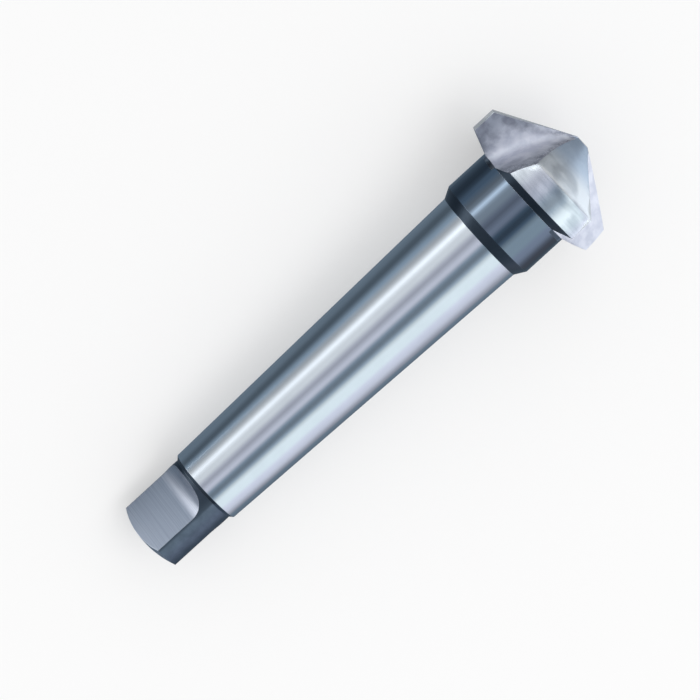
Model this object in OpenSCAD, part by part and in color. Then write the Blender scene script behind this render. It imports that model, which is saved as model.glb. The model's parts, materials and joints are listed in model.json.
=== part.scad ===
// Three-flute 120 degree countersink with a No. 2 Morse taper shank and tang.
// It is turned, milled and ground from one bar. The tool is drawn standing on its own axis,
// tip up, with the widest plane of its head at z = 0, and is then laid on the floor. There
// it rests on the two sides of one flute and on a corner of its tang.
// Angles round the axis start at the first cutting edge and run the way the tool turns.

/* [Head] */
// Diameter over the cutting edges
head_d = 30; // [26:0.5:34]
// Included angle of the cutting cone
point_angle = 120; // [100:5:130]
// Diameter of the small flat at the nose
nose_d = 3; // [2.6:0.1:4.4]
// Length of the margin behind the cone
margin_len = 4.6; // [3:0.1:7]
// Axial length of the sloping back, from the margin down to the collar
back_len = 1.65; // [0.8:0.05:3]
// Sideways shift of each land, which gives the relief behind its cutting edge
relief_shift = 0.25; // [0.1:0.05:0.6]

/* [Flutes] */
// Distance from the axis to the floor of a flute at the nose
web_r = 1.2; // [0.9:0.1:1.3]
// Depth to which the floor of a flute cuts into the front of the collar
flute_nick = 1.2; // [0.8:0.05:1.5]
// Length by which a flute runs on into the collar
flute_run = 0.8; // [0.4:0.1:1.4]
// Height of the bow in the floor of a flute, over a straight line from nose to collar
flute_bow = 1.3; // [1:0.1:1.6]
// Radius in the corner between the rake face and the floor of a flute
flute_corner_r = 1.5; // [1:0.25:3]

/* [Collar] */
// Diameter of the collar
collar_d = 20.3; // [19:0.1:23]
// Length of the cylinder of the collar
collar_len = 8.5; // [5:0.5:14]
// Axial length of the chamfer from the collar down to the shank
chamfer_len = 2.05; // [1:0.05:4]

/* [Taper shank] */
// Diameter at the gauge plane
gauge_d = 17.78; // [17:0.01:18.5]
// Distance from the gauge plane to the large end of the taper
gauge_inset = 5; // [3:0.5:8]
// Length of taper over which the diameter changes by one unit
taper_rate = 20.02; // [18:0.01:25]
// Length from the large end of the taper to the end of the tang
shank_len = 80; // [70:0.5:95]

/* [Tang] */
// Length of the tang, from the small end of the taper
tang_len = 14.7; // [14:0.1:18]
// Diameter over the round sides of the tang
tang_d = 13.5; // [12.5:0.1:14]
// Axial length of the step from the taper down to the tang
step_len = 0.6; // [0.3:0.1:1.2]
// Thickness across the flats of the tang
tang_thickness = 6.3; // [5:0.1:8]
// Length of the flats, from the end of the tang to their fillets
flat_len = 9.6; // [7:0.1:10]
// Radius of the fillets where the flats run out
tang_fillet_r = 4; // [3.5:0.25:7]
// Radius of the crowned end of the tang
crown_r = 17; // [12:0.5:30]
// Angle of the flats round the axis
tang_turn = 34; // [20:1:50]

/* [Hidden] */
$fn = 96;

// Number of lands and flutes, and the flute whose two sides rest on the floor
land_count = 3;
land_pitch = 360 / land_count;
rest_turn = 2 * land_pitch;

// Radii
head_r = head_d / 2;
nose_r = nose_d / 2;
collar_r = collar_d / 2;
large_r = (gauge_d + gauge_inset / taper_rate) / 2;
small_r = large_r - (shank_len - tang_len) / taper_rate / 2;
tang_r = tang_d / 2;

// Heights on the axis
cone_slope = tan(90 - point_angle / 2);
z_nose = (head_r - nose_r) * cone_slope;
z_margin = -margin_len;
z_back = z_margin - back_len;
z_collar = z_back - collar_len;
z_large = z_collar - chamfer_len;
z_small = z_large - shank_len + tang_len;
z_end = z_large - shank_len;

// How far a cutter or blank reaches past what it cuts or joins
past = 1;

// Arc of a flute's floor in the plane of the rake face, from the nose to the collar.
// Its middle lies behind and across the axis.
floor_nose = [web_r, z_nose];
floor_back = [collar_r - flute_nick, z_back];
floor_chord = norm(floor_nose - floor_back);
floor_along = (floor_nose - floor_back) / floor_chord;
floor_out = [-floor_along[1], floor_along[0]];
floor_r = (pow(floor_chord / 2, 2) + pow(flute_bow, 2)) / (2 * flute_bow);
floor_mid = (floor_nose + floor_back) / 2 + (floor_r - flute_bow) * floor_out;
floor_swing = atan2(z_nose + past - floor_mid[1], web_r - floor_mid[0]);
floor_start = asin((z_back - flute_run - floor_mid[1]) / floor_r);

// Angle by which a land's blank runs on past its cutting edge
land_overrun = 12;

// Fall of the sloping back for each unit of radius
back_slope = back_len / (head_r - collar_r);

// Steps along the edge of a land, and passes that settle the heel's corner
land_steps = 60;
heel_passes = 3;

function spoke(r, angle) = [r * cos(angle), r * sin(angle)];

function turned(p, angle) =
    [p[0] * cos(angle) - p[1] * sin(angle), p[0] * sin(angle) + p[1] * cos(angle), p[2]];

// Height at which the sloping back stands at radius r
function back_z(r) = z_margin - (head_r - r) * back_slope;

// Distance of a flute's floor from the axis, along the rake face, at height z
function floor_x(z) = floor_mid[0] + sqrt(pow(floor_r, 2) - pow(z - floor_mid[1], 2));

// Radius of a land at an angle behind its cutting edge
function land_r(behind) =
    sqrt(pow(head_r, 2) - pow(relief_shift * cos(behind), 2)) - relief_shift * sin(behind);

// Corner of the first cutting edge at the back of the margin
function edge_corner() =
    let (r = land_r(0))
    [r, 0, back_z(r)];

// Corner of the next heel at the back of the margin, where floor, land and back meet
function heel_corner(passes = heel_passes, z = z_margin) =
    let (
        centre = spoke(relief_shift, land_pitch + 90),
        x = floor_x(z),
        y = centre[1] + sqrt(pow(head_r, 2) - pow(x - centre[0], 2))
    )
    passes == 0 ? [x, y, z] : heel_corner(passes - 1, back_z(norm([x, y])));

// Lower corner of the tang, where a flat, a round side and the crown meet
function tang_corner() =
    let (at = spoke(tang_r, tang_turn + 180 + acos(tang_thickness / tang_d)))
    [at[0], at[1], z_end + crown_r - sqrt(pow(crown_r, 2) - pow(tang_r, 2))];

// Farthest reach of the three lands from the axis in one direction
function land_reach(direction) =
    let (corner = heel_corner(), span = land_pitch - atan2(corner[1], corner[0]))
    max([
        for (i = [0 : land_count - 1], step = [0 : land_steps])
            let (behind = span * step / land_steps)
            land_r(behind) * cos(i * land_pitch - behind - direction)
    ]);

// The floor, found from the three corners that touch it
floor_edge = turned(edge_corner(), rest_turn);
floor_heel = turned(heel_corner(), rest_turn);
floor_tang = tang_corner();
floor_cross = cross(floor_tang - floor_edge, floor_heel - floor_edge);
floor_normal = floor_cross / norm(floor_cross);
down_turn = atan2(floor_normal[1], floor_normal[0]);
pitch = atan2(floor_normal[2], norm([floor_normal[0], floor_normal[1]]));
rest_height = floor_normal * floor_edge;

// Reach of the lying tool along x and y, which puts the origin under its middle
x_tip = z_nose * cos(pitch) + nose_r * abs(sin(pitch));
x_tail = (z_end + crown_r) * cos(pitch) - crown_r;
y_left = land_reach(down_turn + 90);
y_right = -land_reach(down_turn - 90);

// Cylinder with a flat top and a conical underside, which bounds the lands at both ends
module head_blank() {
    outer = head_r + relief_shift + past;
    inner = collar_r - past;
    rotate_extrude()
        polygon([
            [0, back_z(inner)],
            [inner, back_z(inner)],
            [outer, back_z(outer)],
            [outer, z_nose],
            [0, z_nose]
        ]);
}

// Cutting cone and margin, ground about an axis of their own. The cone runs on past the nose,
// which the head's blank then cuts flat.
module land_blank() {
    over = past / 2;
    rotate_extrude()
        polygon([
            [0, z_back - past],
            [head_r, z_back - past],
            [head_r, 0],
            [nose_r - over / cone_slope, z_nose + over],
            [0, z_nose + over]
        ]);
}

// One land: the sector behind its cutting edge, which falls away towards the heel. It runs
// on a little way past the edge, into the space that the flute then clears.
module land() {
    height = z_nose - z_back + 4 * past;
    intersection() {
        translate([0, relief_shift, 0]) land_blank();
        translate([0, 0, z_back - 2 * past])
            linear_extrude(height)
                polygon([
                    [0, 0],
                    spoke(head_d, -land_pitch),
                    spoke(head_d, -land_pitch / 2),
                    spoke(head_d, land_overrun)
                ]);
    }
}

// Section of the space in a flute: rake face along x, floor along y, round corner between them
module flute_section() {
    rim = [head_r + relief_shift, 0] - floor_mid;
    depth = norm(rim) - floor_r + past;
    width = head_r + past;
    translate([flute_corner_r, flute_corner_r]) circle(flute_corner_r);
    translate([flute_corner_r, 0]) square([depth - flute_corner_r, width]);
    translate([0, flute_corner_r]) square([depth, width - flute_corner_r]);
}

// One flute, ground along an arc that climbs from the nose and ends in the front of the collar
module flute() {
    translate([floor_mid[0], 0, floor_mid[1]])
        rotate([-90, 0, 0])
            rotate([0, 0, -floor_swing])
                rotate_extrude(angle = floor_swing - floor_start)
                    translate([floor_r, 0]) flute_section();
}

// Collar, chamfer, taper and the round of the tang. The collar runs on up inside the head,
// so that the sloping back meets its side.
module shank_blank() {
    rotate_extrude()
        polygon([
            [0, z_margin],
            [collar_r, z_margin],
            [collar_r, z_collar],
            [large_r, z_large],
            [small_r, z_small],
            [tang_r, z_small - step_len],
            [tang_r, z_end - past],
            [0, z_end - past]
        ]);
}

// Space round the crowned end of the tang. The poles of its ball lie off to the sides.
module crown_cut() {
    difference() {
        translate([0, 0, z_end - 2 * past]) cylinder(h = tang_r + 2 * past, r = tang_d);
        translate([0, 0, z_end + crown_r]) rotate([90, 0, 0]) sphere(crown_r);
    }
}

// Space beside one flat of the tang, with the round run-out of the cutter
module tang_cut() {
    reach = 2 * tang_fillet_r;
    rotate([90, 0, 0])
        linear_extrude(2 * tang_d, center = true) {
            translate([tang_thickness / 2, z_end - past]) square([reach, flat_len + past]);
            translate([tang_thickness / 2 + tang_fillet_r, z_end + flat_len]) circle(tang_fillet_r);
        }
}

module tool() {
    difference() {
        union() {
            intersection() {
                head_blank();
                for (i = [0 : land_count - 1])
                    rotate([0, 0, i * land_pitch]) land();
            }
            shank_blank();
        }
        for (i = [0 : land_count - 1])
            rotate([0, 0, i * land_pitch]) flute();
        for (side = [0, 180])
            rotate([0, 0, tang_turn + side]) tang_cut();
        crown_cut();
    }
}

// The tool as it lies, tip towards +x
module countersink() {
    color([0.74, 0.77, 0.81])
        translate([-(x_tip + x_tail) / 2, -(y_left + y_right) / 2, rest_height])
            rotate([0, 90 + pitch, 0])
                rotate([0, 0, -down_turn]) tool();
}

countersink();
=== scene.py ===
import json
import math

import bpy
from mathutils import Matrix, Vector

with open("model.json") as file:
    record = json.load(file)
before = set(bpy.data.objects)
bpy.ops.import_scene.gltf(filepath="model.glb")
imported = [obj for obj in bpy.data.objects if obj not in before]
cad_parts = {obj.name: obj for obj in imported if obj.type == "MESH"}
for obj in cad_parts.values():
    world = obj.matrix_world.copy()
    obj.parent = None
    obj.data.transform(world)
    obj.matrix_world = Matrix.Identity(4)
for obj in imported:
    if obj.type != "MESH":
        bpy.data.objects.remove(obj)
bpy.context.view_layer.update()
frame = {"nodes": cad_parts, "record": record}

MM = 0.001

# Heights along the tool's axis, in millimetres from the widest plane of its head, tip up
Z_NOSE = 7.79
Z_BACK = -6.25
Z_COLLAR = -14.75
Z_LARGE = -16.8
Z_GAUGE = -21.8
Z_SMALL = -82.1
Z_END = -96.8

# Radii of the tool and half the thickness of its tang, in millimetres, how much the cone's
# radius grows for each millimetre of height, and the turn of the tang's flats, in degrees from
# the first cutting edge
HEAD_R = 15.0
NOSE_R = 1.5
COLLAR_R = 10.15
CONE_SPREAD = 1.732
TANG_R = 6.75
TANG_HALF = 3.15
TANG_TURN = 34.0

# Directions of the flute that has painted shade along its rim and of the side of the collar that
# has painted shade, in degrees from the first cutting edge
PAINTED_SHADE_TURN = 30.0
SHADED_SIDE_TURN = 167.0

# How far a surface must face along the tool's axis, or out from it, to be told from its
# neighbours. The cone's are the least and the most.
BACK_FACING = -0.8
CONE_FACING = (0.80, 0.93)
NOSE_FACING = 0.97
MARGIN_FACING = 0.1
MARGIN_OUTWARD = 0.9

# Where a soft mask starts and where it is whole: how far the floor of a flute faces along the
# axis, how far the collar faces its side that has painted shade, and how far the dark line on a
# side of the tang stays from the flat, in millimetres
HOLLOW_FACING = (0.02, 0.22)
SHADED_SIDE_FACING = (0.68, 0.86)
EDGE_LINE_INSET = (0.6, 0.1)

# How far masks reach past the edges of the tool, or stay inside them, in millimetres. The root
# is where the back of the head meets the collar.
OVERLAP = 0.02
MARGIN_INSET = 0.45
NOTCH_INSET = 0.05
ROOT_INSET = 1.5
ROOT_BELOW = 1.4
ROOT_ABOVE = 1.0
ROUND_INSET = 0.04

# The photograph's view, in pixels, millimetres and degrees: its size, how far off it is, how
# large the tool looks, where the middle of its head lies, and how it is turned
IMAGE_PX = 700
SENSOR_MM = 36.0
VIEW_DISTANCE = 1200.0
PX_PER_MM = 5.70
HEAD_PX = (549.88, 172.25)
AXIS_SLOPE = 42.37
TIP_LEAN = 4.5
VIEW_TURN = 72.0


def tool_axes():
    """The tool's own frame from the record: +z along its axis to the tip, +x at a cutting edge."""
    mounts = {m["name"]: m for m in frame["record"]["mounts"]}
    tip = -Vector(mounts["taper_shank"]["axis"]).normalized()
    flat = Vector(mounts["tang_flat_a"]["axis"]).normalized()
    edge = Matrix.Rotation(math.radians(-TANG_TURN), 3, tip) @ flat
    edge = (edge - edge.dot(tip) * tip).normalized()
    side = tip.cross(edge)
    origin = Vector(mounts["taper_shank"]["pos_m"]) - tip * Z_GAUGE * MM
    axes = Matrix((edge, side, tip)).transposed().to_4x4()
    return Matrix.Translation(origin) @ axes


TOOL = tool_axes()


def view_axes():
    """Right, up and back of the photograph's camera, in the tool's frame."""
    tip = Vector((0, 0, 1))
    turn, lean, slope = (math.radians(a) for a in (VIEW_TURN, TIP_LEAN, AXIS_SLOPE))
    outward = Vector((math.cos(turn), math.sin(turn), 0))
    back = math.sin(lean) * tip + math.cos(lean) * outward
    along = (tip - tip.dot(back) * back).normalized()
    across = back.cross(along)
    right = math.cos(slope) * along - math.sin(slope) * across
    up = math.sin(slope) * along + math.cos(slope) * across
    return right, up, back


def add_camera():
    """The camera at the photograph's angle, in the scene."""
    right, up, back = view_axes()
    focal_px = PX_PER_MM * VIEW_DISTANCE
    from_middle = (HEAD_PX[0] - IMAGE_PX / 2, IMAGE_PX / 2 - HEAD_PX[1])
    place = (VIEW_DISTANCE * back - from_middle[0] / PX_PER_MM * right
             - from_middle[1] / PX_PER_MM * up) * MM
    data = bpy.data.cameras.new("camera")
    data.sensor_width = SENSOR_MM
    data.lens = SENSOR_MM * focal_px / IMAGE_PX
    data.clip_end = 20
    camera = bpy.data.objects.new("camera", data)
    bpy.context.collection.objects.link(camera)
    turned = Matrix((right, up, back)).transposed().to_4x4()
    camera.matrix_world = TOOL @ Matrix.Translation(place) @ turned
    bpy.context.scene.camera = camera


class Nodes:
    """Short calls for building one material."""

    def __init__(self, name):
        self.material = bpy.data.materials.new(name)
        self.material.use_nodes = True
        self.tree = self.material.node_tree
        self.tree.nodes.clear()

    def add(self, kind, **settings):
        node = self.tree.nodes.new(kind)
        for name, value in settings.items():
            setattr(node, name, value)
        return node

    def feed(self, socket, value):
        if isinstance(value, bpy.types.NodeSocket):
            self.tree.links.new(value, socket)
        else:
            socket.default_value = value

    def math(self, operation, *values, clamp=False):
        node = self.add("ShaderNodeMath", operation=operation, use_clamp=clamp)
        for socket, value in zip(node.inputs, values):
            self.feed(socket, value)
        return node.outputs[0]

    def above(self, value, limit):
        return self.math("GREATER_THAN", value, limit)

    def below(self, value, limit):
        return self.math("LESS_THAN", value, limit)

    def both(self, first, second):
        return self.math("MULTIPLY", first, second)

    def either(self, first, second):
        return self.math("MAXIMUM", first, second)

    def neither(self, *masks):
        rest = 1.0
        for mask in masks:
            rest = self.math("SUBTRACT", rest, mask, clamp=True)
        return rest

    def step(self, value, low, high):
        """0 below low, 1 above high, and smooth between them. It falls if low is above high."""
        node = self.add("ShaderNodeMapRange", interpolation_type="SMOOTHSTEP")
        for name, item in (("Value", value), ("From Min", low), ("From Max", high)):
            self.feed(node.inputs[name], item)
        return node.outputs["Result"]

    def scale(self, value, low, high):
        """Carries 0..1 over to low..high."""
        node = self.add("ShaderNodeMapRange")
        for name, item in (("Value", value), ("To Min", low), ("To Max", high)):
            self.feed(node.inputs[name], item)
        return node.outputs["Result"]

    def mix(self, share, first, second):
        node = self.add("ShaderNodeMix", data_type="RGBA")
        self.feed(node.inputs[0], share)
        self.feed(node.inputs[6], first)
        self.feed(node.inputs[7], second)
        return node.outputs[2]

    def blend(self, share, first, second):
        node = self.add("ShaderNodeMix")
        for socket, value in zip(node.inputs[0:1] + node.inputs[2:4], (share, first, second)):
            self.feed(socket, value)
        return node.outputs[0]

    def vector(self, operation, first, second):
        node = self.add("ShaderNodeVectorMath", operation=operation)
        self.feed(node.inputs[0], first)
        self.feed(node.inputs[1], second)
        return node.outputs["Value" if operation == "DOT_PRODUCT" else "Vector"]

    def noise(self, vector, scale, detail=3.0, roughness=0.5):
        node = self.add("ShaderNodeTexNoise")
        self.feed(node.inputs["Vector"], vector)
        node.inputs["Scale"].default_value = scale
        node.inputs["Detail"].default_value = detail
        node.inputs["Roughness"].default_value = roughness
        return node.outputs["Fac"]

    def split(self, vector):
        node = self.add("ShaderNodeSeparateXYZ")
        self.feed(node.inputs[0], vector)
        return node.outputs

    def surface(self, shader):
        out = self.add("ShaderNodeOutputMaterial")
        self.feed(out.inputs["Surface"], shader.outputs[0])
        return self.material


def grey(level, tint=(1.0, 1.0, 1.0)):
    return tuple(level * t for t in tint) + (1.0,)


class ToolPlaces:
    """Places and directions in the tool's own frame, and a mask for each of its surfaces."""

    def __init__(self, n):
        to_tool = TOOL.inverted()
        turn = to_tool.to_euler("XYZ")
        place = n.add("ShaderNodeMapping", vector_type="POINT")
        n.feed(place.inputs["Vector"], n.add("ShaderNodeTexCoord").outputs["Object"])
        place.inputs["Location"].default_value = to_tool.translation / MM
        place.inputs["Rotation"].default_value = turn
        place.inputs["Scale"].default_value = (1 / MM,) * 3
        self.normal = n.add("ShaderNodeNewGeometry").outputs["Normal"]
        facing = n.add("ShaderNodeMapping", vector_type="VECTOR")
        n.feed(facing.inputs["Vector"], self.normal)
        facing.inputs["Rotation"].default_value = turn
        self.place = place.outputs[0]
        self.facing = facing.outputs[0]
        self.z = n.split(self.place)[2]
        self.facing_z = n.split(self.facing)[2]
        spoke = n.vector("MULTIPLY", self.place, (1.0, 1.0, 0.0))
        self.radius = n.math("SQRT", n.vector("DOT_PRODUCT", spoke, spoke))
        self.facing_out = n.math("DIVIDE", n.vector("DOT_PRODUCT", self.facing, spoke), self.radius)
        self.find_head(n)
        self.find_collar(n)
        self.find_tang(n)

    def find_head(self, n):
        in_front = n.above(self.z, Z_BACK - OVERLAP)
        tilted = n.both(n.above(self.facing_z, CONE_FACING[0]), n.below(self.facing_z, CONE_FACING[1]))
        rim = n.above(self.radius, HEAD_R - MARGIN_INSET)
        outer = n.both(rim, n.above(self.facing_out, MARGIN_OUTWARD))
        self.back = n.both(n.below(self.facing_z, BACK_FACING), in_front)
        self.cone = n.both(tilted, in_front)
        self.margin = n.both(n.both(outer, n.below(self.facing_z, MARGIN_FACING)), in_front)
        self.ground = n.either(self.cone, self.margin)
        self.nose = n.above(self.facing_z, NOSE_FACING)
        self.flute = n.both(in_front, n.neither(self.back, self.cone, self.margin, self.nose))
        self.find_flute(n)

    def find_flute(self, n):
        """Depth below the rim of a flute, as a share of the land's radius, its floor, and the mask of
        painted shade on one flute.
        """
        land_r = n.math("MULTIPLY_ADD", n.math("SUBTRACT", Z_NOSE, self.z), CONE_SPREAD, NOSE_R)
        reach = n.math("DIVIDE", self.radius, n.math("MINIMUM", land_r, HEAD_R))
        self.depth = n.math("SUBTRACT", 1.0, reach)
        self.floor = n.step(n.math("ABSOLUTE", self.facing_z), *HOLLOW_FACING)
        # Painted shade: the flute on the side this direction points to is darkened along its rim
        a = math.radians(PAINTED_SHADE_TURN)
        toward = n.vector("DOT_PRODUCT", self.place, (math.cos(a), math.sin(a), 0.0))
        self.painted_shade = n.both(self.flute, n.above(toward, 0.0))

    def find_collar(self, n):
        above_shank = n.above(self.z, Z_LARGE + OVERLAP)
        chamfer = n.both(above_shank, n.below(self.z, Z_COLLAR - OVERLAP))
        near_back = n.both(n.above(self.z, Z_BACK - ROOT_BELOW), n.below(self.z, Z_BACK + ROOT_ABOVE))
        below_back = n.both(near_back, n.below(self.z, Z_BACK))
        # Painted shade: the notch, where a flute runs into the collar, takes the dark face colour
        notch = n.both(below_back, n.below(self.radius, COLLAR_R - NOTCH_INSET))
        self.dark_and_shaded_faces = n.either(n.either(chamfer, notch), self.back)
        self.root = n.both(near_back, n.below(self.radius, HEAD_R - ROOT_INSET))
        head = n.either(self.ground, n.either(self.flute, self.nose))
        self.collar = n.both(above_shank, n.neither(head, self.dark_and_shaded_faces))
        # Painted shade: the collar is darker on the side facing this direction
        a = math.radians(SHADED_SIDE_TURN)
        toward = n.vector("DOT_PRODUCT", self.facing, (math.cos(a), math.sin(a), 0.0))
        self.painted_shade_side = n.step(toward, *SHADED_SIDE_FACING)

    def find_tang(self, n):
        below_shank = n.below(self.z, Z_SMALL + OVERLAP)
        a = math.radians(TANG_TURN)
        across = n.vector("DOT_PRODUCT", self.place, (math.cos(a), math.sin(a), 0.0))
        self.round = n.both(below_shank, n.above(self.radius, TANG_R - ROUND_INSET))
        # A dark line on each round side of the tang, along the edge of a flat
        line_edges = [TANG_HALF - inset for inset in EDGE_LINE_INSET]
        self.flat_edge_line = n.step(n.math("ABSOLUTE", across), *line_edges)
        self.tang = n.both(below_shank, n.neither(self.round))


# Base colours of the finishes
STEEL_DIM = grey(0.70, (0.97, 1.0, 1.04))
STEEL_PALE = grey(0.80, (0.97, 1.0, 1.03))
CONE_DIM = grey(0.44, (0.94, 1.0, 1.07))
CONE_PALE = grey(0.66, (0.96, 1.0, 1.04))
# Painted blue reflection on the cone near the nose
CONE_REFLECTED_BLUE = grey(0.46, (0.80, 1.0, 1.28))
MARGIN_DIM = grey(0.62, (0.95, 1.0, 1.06))
MARGIN_PALE = grey(0.92, (0.98, 1.0, 1.02))
FLUTE_DIM = grey(0.80, (0.98, 0.98, 1.05))
FLUTE_PALE = grey(0.92, (1.00, 0.99, 1.03))
# Painted shade along the rim of one flute
PAINTED_SHADE_DARK = grey(0.36, (0.95, 0.96, 1.12))
PAINTED_SHADE_DIM = grey(0.54, (0.96, 0.98, 1.09))
FLAT_DIM = grey(0.54, (0.97, 0.98, 1.09))
FLAT_PALE = grey(0.68, (0.98, 0.99, 1.06))
COLLAR_BLUE = grey(0.23, (0.82, 1.0, 1.22))
# Painted shade on one side of the collar
COLLAR_PAINTED_SHADE = grey(0.09, (0.80, 1.0, 1.25))
# The dark faces, also laid in the notch as painted shade
DARK_FACE = grey(0.10, (0.80, 1.0, 1.25))
ROUND_SIDE = grey(0.26, (0.82, 1.0, 1.25))
WORN_EDGE = grey(0.78, (0.97, 1.0, 1.05))

# Least and most roughness of the finishes
SHANK_ROUGH = (0.12, 0.17)
GROUND_ROUGH = (0.18, 0.28)
FLUTE_ROUGH = (0.62, 0.72)
COLLAR_ROUGH = (0.03, 0.05)
DARK_ROUGH = (0.32, 0.40)
TANG_ROUGH = (0.26, 0.36)
ROUND_ROUGH = (0.38, 0.50)

# Noise scales for each millimetre across and along the tool's axis, and where spots start and
# are whole
RING_SCALES = (0.03, 0.03, 4.0)
STREAK_SCALES = (0.10, 0.10, 1.1)
SPOT_EDGES = (0.36, 0.64)

# The ground cone and margin: the shares of streaks and blotches, where pale patches start and
# are whole, and the heights in millimetres where the painted blue reflection near the nose starts
# and is whole, with its share
STREAK_SHARE = 0.3
BLOTCH_SHARE = 0.7
GROUND_PATCHES = (0.38, 0.60)
REFLECTED_BLUE_Z = (2.0, 5.0)
REFLECTED_BLUE_SHARE = 0.75

# The painted shade along one flute's rim: how far its edges wander in depth and in height, where
# it ends towards the hollow of the flute and towards the nose, and where its light specks start
# and are whole
RAGGED_DEPTH = 0.16
RAGGED_Z = 3.0
PAINTED_SHADE_DEPTH = (0.16, 0.46)
PAINTED_SHADE_Z = (7.0, 4.0)
SPECK_DEPTH = (0.34, 0.22)
SPECK_GRAIN = (0.52, 0.60)
SPECK_SHARE = 0.7

# Where the pale lines of the milled flats start and are whole
MILLED_LINES = (0.3, 0.7)

# Roundings that shading gives to the edges, in millimetres, and where the wide ones start and
# are whole: in millimetres from the shoulder, and in depth in a flute
EDGE_ROUNDING = 0.12
SHOULDER_ROUNDING = 2.2
FLUTE_ROUNDING = 3.2
ROOT_ROUNDING = 0.02
SHOULDER_REACH = (2.8, 0.8)
HOLLOW_DEPTH = (0.10, 0.40)

# How bright worn edges are, and where their wear starts and is whole: by how far the rounding
# turns the surface, and in patches
EDGE_WEAR = 0.55
WORN_TURN = (0.01, 0.12)
WORN_PATCHES = (0.30, 0.55)

# Depth of the fine grooves in millimetres, how strongly they show, how much the brushed finish
# draws out a reflection, and the share of the grooves that a flute lacks
GROOVE_DEPTH = 0.02
GROOVE_STRENGTH = 0.12
BRUSHED = 0.6
FLUTE_LACK = 0.7

# How far the surfaces wander from true, how high their grain stands and how deep the dents in
# a flute are, all in groove depths
WAVINESS = 6.0
GRAIN_HEIGHT = 0.3
DENT_DEPTH = 2.0


class Patterns:
    """The noises that the finishes share, in the tool's own frame and scaled by the millimetre."""

    def __init__(self, n, at):
        self.rings = n.noise(n.vector("MULTIPLY", at.place, RING_SCALES), 1.0, detail=5.0, roughness=0.6)
        self.streaks = n.noise(n.vector("MULTIPLY", at.place, STREAK_SCALES), 1.0, detail=4.0, roughness=0.6)
        self.cloud = n.noise(at.place, 0.16, detail=4.0, roughness=0.55)
        self.mottle = n.noise(at.place, 0.42, detail=4.0, roughness=0.55)
        self.grain = n.noise(at.place, 2.6, detail=3.0, roughness=0.6)
        self.blotch = n.noise(at.place, 0.24, detail=2.0, roughness=0.4)
        self.drift = n.noise(at.place, 0.05, detail=1.0)
        self.spots = n.step(self.mottle, *SPOT_EDGES)


def ground_colour(n, at, pattern, colour):
    """Lays the ground cone, with a painted blue reflection near the nose, and the margin over a colour."""
    blend = n.math("MULTIPLY_ADD", pattern.streaks, STREAK_SHARE, n.both(pattern.blotch, BLOTCH_SHARE))
    worked = n.step(blend, *GROUND_PATCHES)
    # Painted reflection: the cone turns blue towards the nose
    reflected_blue = n.both(n.step(at.z, *REFLECTED_BLUE_Z), REFLECTED_BLUE_SHARE)
    cone = n.mix(reflected_blue, n.mix(worked, CONE_DIM, CONE_PALE), CONE_REFLECTED_BLUE)
    colour = n.mix(at.cone, colour, cone)
    return n.mix(at.margin, colour, n.mix(worked, MARGIN_DIM, MARGIN_PALE))


def flute_colour(n, at, pattern):
    """Colour of the flutes, one of them with painted shade along its rim and speckled over its heel."""
    depth = n.math("MULTIPLY_ADD", pattern.mottle, RAGGED_DEPTH, at.depth)
    specks = n.both(n.step(depth, *SPECK_DEPTH), n.step(pattern.grain, *SPECK_GRAIN))
    # Painted shade: darker colours along the rim of one flute, with light specks over its heel
    painted_shade_colour = n.mix(pattern.spots, PAINTED_SHADE_DARK, PAINTED_SHADE_DIM)
    painted_shade_colour = n.mix(n.both(n.both(specks, at.floor), SPECK_SHARE), painted_shade_colour, FLUTE_PALE)
    behind = n.step(n.math("MULTIPLY_ADD", pattern.mottle, RAGGED_Z, at.z), *PAINTED_SHADE_Z)
    painted_shade = n.both(at.painted_shade, n.either(at.floor, behind))
    painted_shade = n.both(painted_shade, n.neither(n.step(depth, *PAINTED_SHADE_DEPTH)))
    return n.mix(painted_shade, n.mix(pattern.spots, FLUTE_DIM, FLUTE_PALE), painted_shade_colour)


def steel_colour(n, at, pattern):
    colour = n.mix(pattern.cloud, STEEL_DIM, STEEL_PALE)
    colour = ground_colour(n, at, pattern, colour)
    colour = n.mix(at.flute, colour, flute_colour(n, at, pattern))
    # The collar, with painted shade on one side
    colour = n.mix(at.collar, colour, n.mix(at.painted_shade_side, COLLAR_BLUE, COLLAR_PAINTED_SHADE))
    colour = n.mix(at.dark_and_shaded_faces, colour, DARK_FACE)
    milled = n.mix(n.step(pattern.rings, *MILLED_LINES), FLAT_DIM, FLAT_PALE)
    colour = n.mix(at.tang, colour, milled)
    turned = n.mix(n.both(pattern.mottle, n.neither(at.flat_edge_line)), DARK_FACE, ROUND_SIDE)
    return n.mix(at.round, colour, turned)


def soft_normal(n, at):
    """The normal over rounded edges, with wide roundings on the shoulder and in the flutes."""
    shoulder = n.both(at.ground, n.step(n.math("ABSOLUTE", at.z), *SHOULDER_REACH))
    hollow = n.both(at.flute, n.step(at.depth, *HOLLOW_DEPTH))
    rounding = n.blend(shoulder, EDGE_ROUNDING * MM, SHOULDER_ROUNDING * MM)
    rounding = n.blend(at.root, rounding, ROOT_ROUNDING * MM)
    soft = n.add("ShaderNodeBevel", samples=8)
    n.feed(soft.inputs["Radius"], n.blend(hollow, rounding, FLUTE_ROUNDING * MM))
    return soft.outputs[0]


def worn_edges(n, at, pattern, normal):
    """Mask of the edges that handling has worn bright."""
    turned = n.vector("DOT_PRODUCT", normal, at.normal)
    edge = n.step(n.math("SUBTRACT", 1.0, turned), *WORN_TURN)
    worn = n.both(edge, n.step(pattern.mottle, *WORN_PATCHES))
    return n.both(worn, n.neither(at.root, at.ground, at.flute))


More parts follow.
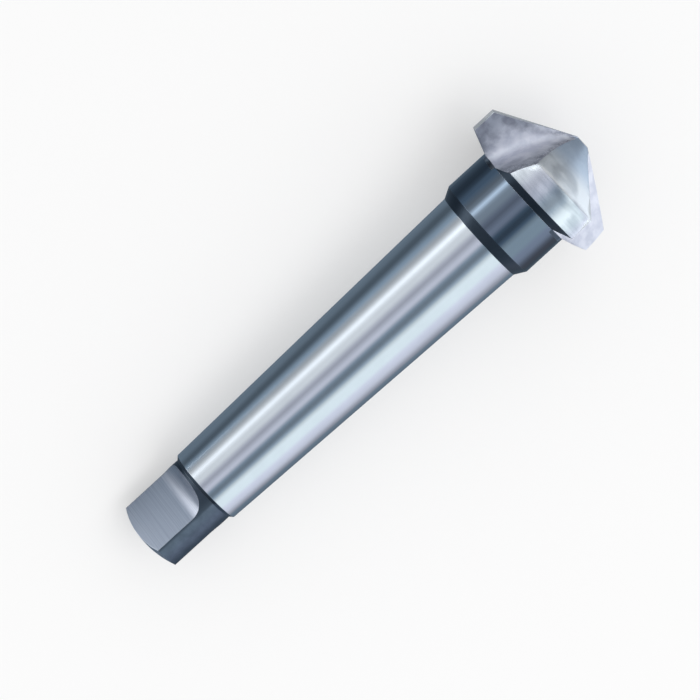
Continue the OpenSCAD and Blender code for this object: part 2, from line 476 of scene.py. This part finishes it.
def steel_roughness(n, at, pattern):
    roughness = n.scale(pattern.rings, *SHANK_ROUGH)
    for mask, limits in ((at.ground, GROUND_ROUGH), (at.flute, FLUTE_ROUGH), (at.collar, COLLAR_ROUGH),
                         (at.dark_and_shaded_faces, DARK_ROUGH), (at.tang, TANG_ROUGH), (at.round, ROUND_ROUGH)):
        roughness = n.blend(mask, roughness, n.scale(pattern.streaks, *limits))
    return roughness


def steel_bump(n, at, pattern, normal):
    """Grinding rings, grain, shallow hollows in the flutes, and a slow wander from true."""
    rings = n.both(pattern.rings, n.neither(at.collar, n.both(at.flute, FLUTE_LACK)))
    height = n.math("ADD", rings, n.both(pattern.grain, n.scale(at.collar, GRAIN_HEIGHT, 0.0)))
    height = n.math("ADD", height, n.both(pattern.mottle, n.scale(at.flute, 0.0, DENT_DEPTH)))
    bump = n.add("ShaderNodeBump")
    bump.inputs["Strength"].default_value = GROOVE_STRENGTH
    bump.inputs["Distance"].default_value = GROOVE_DEPTH * MM
    n.feed(bump.inputs["Height"], n.math("MULTIPLY_ADD", pattern.drift, WAVINESS, height))
    n.feed(bump.inputs["Normal"], normal)
    return bump.outputs[0]


def steel_material():
    """One finish for each surface of the tool: ground, blackened, milled, and left from turning."""
    n = Nodes("tool_steel_finish")
    at = ToolPlaces(n)
    pattern = Patterns(n, at)
    normal = soft_normal(n, at)
    worn = n.both(worn_edges(n, at, pattern, normal), EDGE_WEAR)
    tip = n.add("ShaderNodeCombineXYZ")
    for socket, value in zip(tip.inputs, TOOL.to_3x3() @ Vector((0, 0, 1))):
        socket.default_value = value
    shader = n.add("ShaderNodeBsdfPrincipled")
    shader.inputs["Metallic"].default_value = 1.0
    shader.inputs["Anisotropic"].default_value = BRUSHED
    n.feed(shader.inputs["Tangent"], tip.outputs[0])
    n.feed(shader.inputs["Base Color"], n.mix(worn, steel_colour(n, at, pattern), WORN_EDGE))
    n.feed(shader.inputs["Roughness"], steel_roughness(n, at, pattern))
    n.feed(shader.inputs["Normal"], steel_bump(n, at, pattern, normal))
    return n.surface(shader)


def dress_tool():
    tool = frame["nodes"]["countersink"]
    tool.data.materials.clear()
    tool.data.materials.append(steel_material())


# The floor, in metres, as light falls on it and as the camera sees it
FLOOR_SIZE = 6.0
FLOOR_COLOUR = grey(0.94)
FLOOR_SEEN = grey(0.56)
FLOOR_GLOW = 0.372


def floor_material():
    """Pale paper, which the camera sees partly as a light table, so that the shadow is faint."""
    n = Nodes("floor_paper")
    seen = n.add("ShaderNodeLightPath").outputs["Is Camera Ray"]
    shader = n.add("ShaderNodeBsdfPrincipled")
    n.feed(shader.inputs["Base Color"], n.mix(seen, FLOOR_COLOUR, FLOOR_SEEN))
    shader.inputs["Roughness"].default_value = 1.0
    shader.inputs["Specular IOR Level"].default_value = 0.0
    shader.inputs["Emission Color"].default_value = grey(1.0)
    n.feed(shader.inputs["Emission Strength"], n.both(seen, FLOOR_GLOW))
    return n.surface(shader)


def glow_material():
    """Shows the colours painted on a panel as light."""
    n = Nodes("panel_glow")
    glow = n.add("ShaderNodeEmission")
    paint = n.add("ShaderNodeVertexColor", layer_name="paint")
    n.feed(glow.inputs["Color"], paint.outputs["Color"])
    return n.surface(glow)


def add_mesh(name, corners, faces, material):
    mesh = bpy.data.meshes.new(name)
    mesh.from_pydata(corners, [], faces)
    mesh.materials.append(material)
    piece = bpy.data.objects.new(name, mesh)
    bpy.context.collection.objects.link(piece)
    return piece


def add_floor():
    half = FLOOR_SIZE / 2
    corners = [(-half, -half, 0), (half, -half, 0), (half, half, 0), (-half, half, 0)]
    add_mesh("floor", corners, [(0, 1, 2, 3)], floor_material())


def add_glowing_strip(name, rows, colours, material):
    """A strip through rows of two points each, painted with one colour a row, for reflections only."""
    corners = [point for row in rows for point in row]
    faces = [(2 * i, 2 * i + 1, 2 * i + 3, 2 * i + 2) for i in range(len(rows) - 1)]
    piece = add_mesh(name, corners, faces, material)
    paint = piece.data.color_attributes.new("paint", "FLOAT_COLOR", "POINT")
    for i, colour in enumerate(colours):
        paint.data[2 * i].color = colour
        paint.data[2 * i + 1].color = colour
    piece.visible_camera = False
    piece.visible_diffuse = False
    piece.visible_transmission = False
    piece.visible_volume_scatter = False
    piece.visible_shadow = False


def painted(stops, at):
    """The colour at one place among stops, which are each a place, a level and a tint."""
    for (a, level_a, tint_a), (b, level_b, tint_b) in zip(stops, stops[1:]):
        if at <= b:
            break
    share = min(1.0, max(0.0, (at - a) / (b - a)))
    first, second = grey(level_a, tint_a), grey(level_b, tint_b)
    return tuple((1 - share) * f + share * s for f, s in zip(first, second))


SLATE = (0.74, 1.0, 1.28)
PALE = (0.94, 1.0, 1.06)
AQUA = (0.88, 1.0, 1.06)
LILAC = (0.93, 0.98, 1.15)

# The light tent, which only reflections see: its radius in metres, and the angle of one strip.
# Its stops stand at angles round the tool's axis, from the camera's side on to the lower right.
TENT_R = 0.5
TENT_STEP = 1.0

# The stops above and below the gleam, and those of the gleam itself. The dark collar needs a
# brighter gleam than the shank, so the part of the tent that it mirrors has its own.
# The levels in these four lists, and those of sheet_side below, were worked out from readings of
# the photograph's brightness across the tool. This is an open fault.
TENT_ABOVE = ((-90, 0.38, SLATE), (-76, 0.38, SLATE), (-61, 0.46, PALE))
TENT_BELOW = (
    (-21, 0.83, PALE), (-11, 0.54, LILAC), (-5, 0.43, LILAC), (8, 0.70, LILAC),
    (13, 0.66, LILAC), (21, 0.30, SLATE), (28, 0.19, SLATE), (34, 0.19, SLATE),
    (41, 0.36, SLATE), (49, 0.80, AQUA), (56, 1.04, AQUA), (76, 1.05, AQUA),
    (88, 0.88, LILAC), (104, 0.76, LILAC), (116, 0.76, LILAC),
)
HEAD_GLEAM = (
    (-52, 0.74, PALE), (-47.5, 1.50, PALE), (-43, 2.45, PALE), (-39, 1.90, PALE),
    (-35, 1.15, PALE), (-30, 0.90, PALE),
)
SHANK_GLEAM = (
    (-54, 0.68, PALE), (-48, 1.08, PALE), (-42.5, 1.27, PALE), (-37, 1.00, PALE),
    (-31, 0.84, PALE),
)
HEAD_STOPS = TENT_ABOVE + HEAD_GLEAM + TENT_BELOW
SHANK_STOPS = TENT_ABOVE + SHANK_GLEAM + TENT_BELOW
TAIL_STOPS = ((-90, 1.70, PALE), (-50, 1.40, PALE), (-40, 0.30, SLATE), (116, 0.20, SLATE))
END_STOPS = ((-90, 0.12, SLATE), (116, 0.12, SLATE))

# Ends of the tent's parts, in metres along the axis from the middle of the tool, tip positive
TENT_FRONT = 1.2
TENT_SPLIT = 0.0095
TENT_BACK = -0.21
TENT_TAIL = -0.62
TENT_END = -1.8
TENT_PARTS = (
    ("tent_head", HEAD_STOPS, TENT_SPLIT, TENT_FRONT),
    ("tent_shank", SHANK_STOPS, TENT_BACK, TENT_SPLIT),
    ("tent_tail", TAIL_STOPS, TENT_TAIL, TENT_BACK),
    ("tent_end", END_STOPS, TENT_END, TENT_TAIL),
)


def tent_point(angle, along):
    """A point on the tent, at an angle round the tool's axis from the camera's side."""
    back = view_axes()[2]
    tip = Vector((0, 0, 1))
    out = (back - back.dot(tip) * tip).normalized()
    down_right = tip.cross(out)
    a = math.radians(angle)
    middle = Vector((0, 0, (Z_BACK + Z_END) / 2 * MM))
    local = middle + tip * along + (math.cos(a) * out + math.sin(a) * down_right) * TENT_R
    return TOOL @ local


def add_tent(material):
    for name, stops, back, front in TENT_PARTS:
        start, end = stops[0][0], stops[-1][0]
        count = round((end - start) / TENT_STEP)
        angles = [start + (end - start) * i / count for i in range(count + 1)]
        rows = [(tent_point(angle, back), tent_point(angle, front)) for angle in angles]
        add_glowing_strip(name, rows, [painted(stops, angle) for angle in angles], material)


# Sheets just over the floor, which only reflections see: their dark stretches are painted shade of
# the floor near the tool, and their bright stretches are glowing painted light. Stops across each
# sheet in metres, and the stretch along x that it covers
SHEET_HEIGHT = 0.0004
SHADE_AND_GLOW_SHEETS = (
    ("sheet_side", (-0.066, 0.039), (
        (-0.50, 0.74, LILAC), (-0.175, 0.66, LILAC), (-0.086, 0.56, LILAC), (-0.047, 0.38, LILAC),
        (-0.029, 0.23, SLATE), (-0.012, 0.17, SLATE), (0.015, 0.20, SLATE), (0.026, 0.12, SLATE),
        (0.036, 0.11, SLATE), (0.048, 0.16, SLATE), (0.074, 0.25, SLATE), (0.12, 0.33, SLATE),
        (0.50, 0.38, SLATE))),
    ("sheet_tang", (-0.10, -0.066), (
        (-0.50, 0.76, LILAC), (-0.03, 0.30, SLATE), (0.015, 0.30, SLATE), (0.025, 1.70, PALE),
        (0.085, 1.70, PALE), (0.12, 0.38, SLATE), (0.50, 0.38, SLATE))),
    ("sheet_tail", (-0.50, -0.10), (
        (-0.50, 0.30, SLATE), (0.015, 0.30, SLATE), (0.025, 1.70, PALE), (0.50, 1.70, PALE))),
    ("sheet_front", (0.039, 0.20), (
        (-0.50, 1.45, PALE), (-0.028, 1.45, PALE), (-0.010, 0.56, PALE), (0.01, 0.42, PALE),
        (0.50, 0.42, PALE))),
)


def add_shade_and_glow_sheets(material):
    for name, (near, far), stops in SHADE_AND_GLOW_SHEETS:
        rows = [((near, y, SHEET_HEIGHT), (far, y, SHEET_HEIGHT)) for y, level, tint in stops]
        add_glowing_strip(name, rows, [grey(level, tint) for y, level, tint in stops], material)


# The studio's even light and its one soft lamp, in metres and watts
WORLD_LEVEL = 0.93
KEY_PLACE = (0.15, -0.45, 1.1)
KEY_SIZE = (0.9, 0.6)
KEY_WATTS = 2.5


def add_area(name, place, aim, size, watts):
    data = bpy.data.lights.new(name, "AREA")
    data.shape = "RECTANGLE"
    data.size, data.size_y = size
    data.energy = watts
    lamp = bpy.data.objects.new(name, data)
    bpy.context.collection.objects.link(lamp)
    lamp.location = place
    lamp.rotation_euler = (Vector(aim) - Vector(place)).to_track_quat("-Z", "Y").to_euler()


def add_lights():
    world = bpy.data.worlds.new("studio")
    bpy.context.scene.world = world
    world.use_nodes = True
    background = world.node_tree.nodes["Background"]
    background.inputs["Color"].default_value = grey(1.0)
    background.inputs["Strength"].default_value = WORLD_LEVEL
    add_area("key", KEY_PLACE, (0, 0, 0), KEY_SIZE, KEY_WATTS)


add_camera()
dress_tool()
add_floor()
glow = glow_material()
add_tent(glow)
add_shade_and_glow_sheets(glow)
add_lights()
bpy.context.scene.view_settings.view_transform = "Standard"
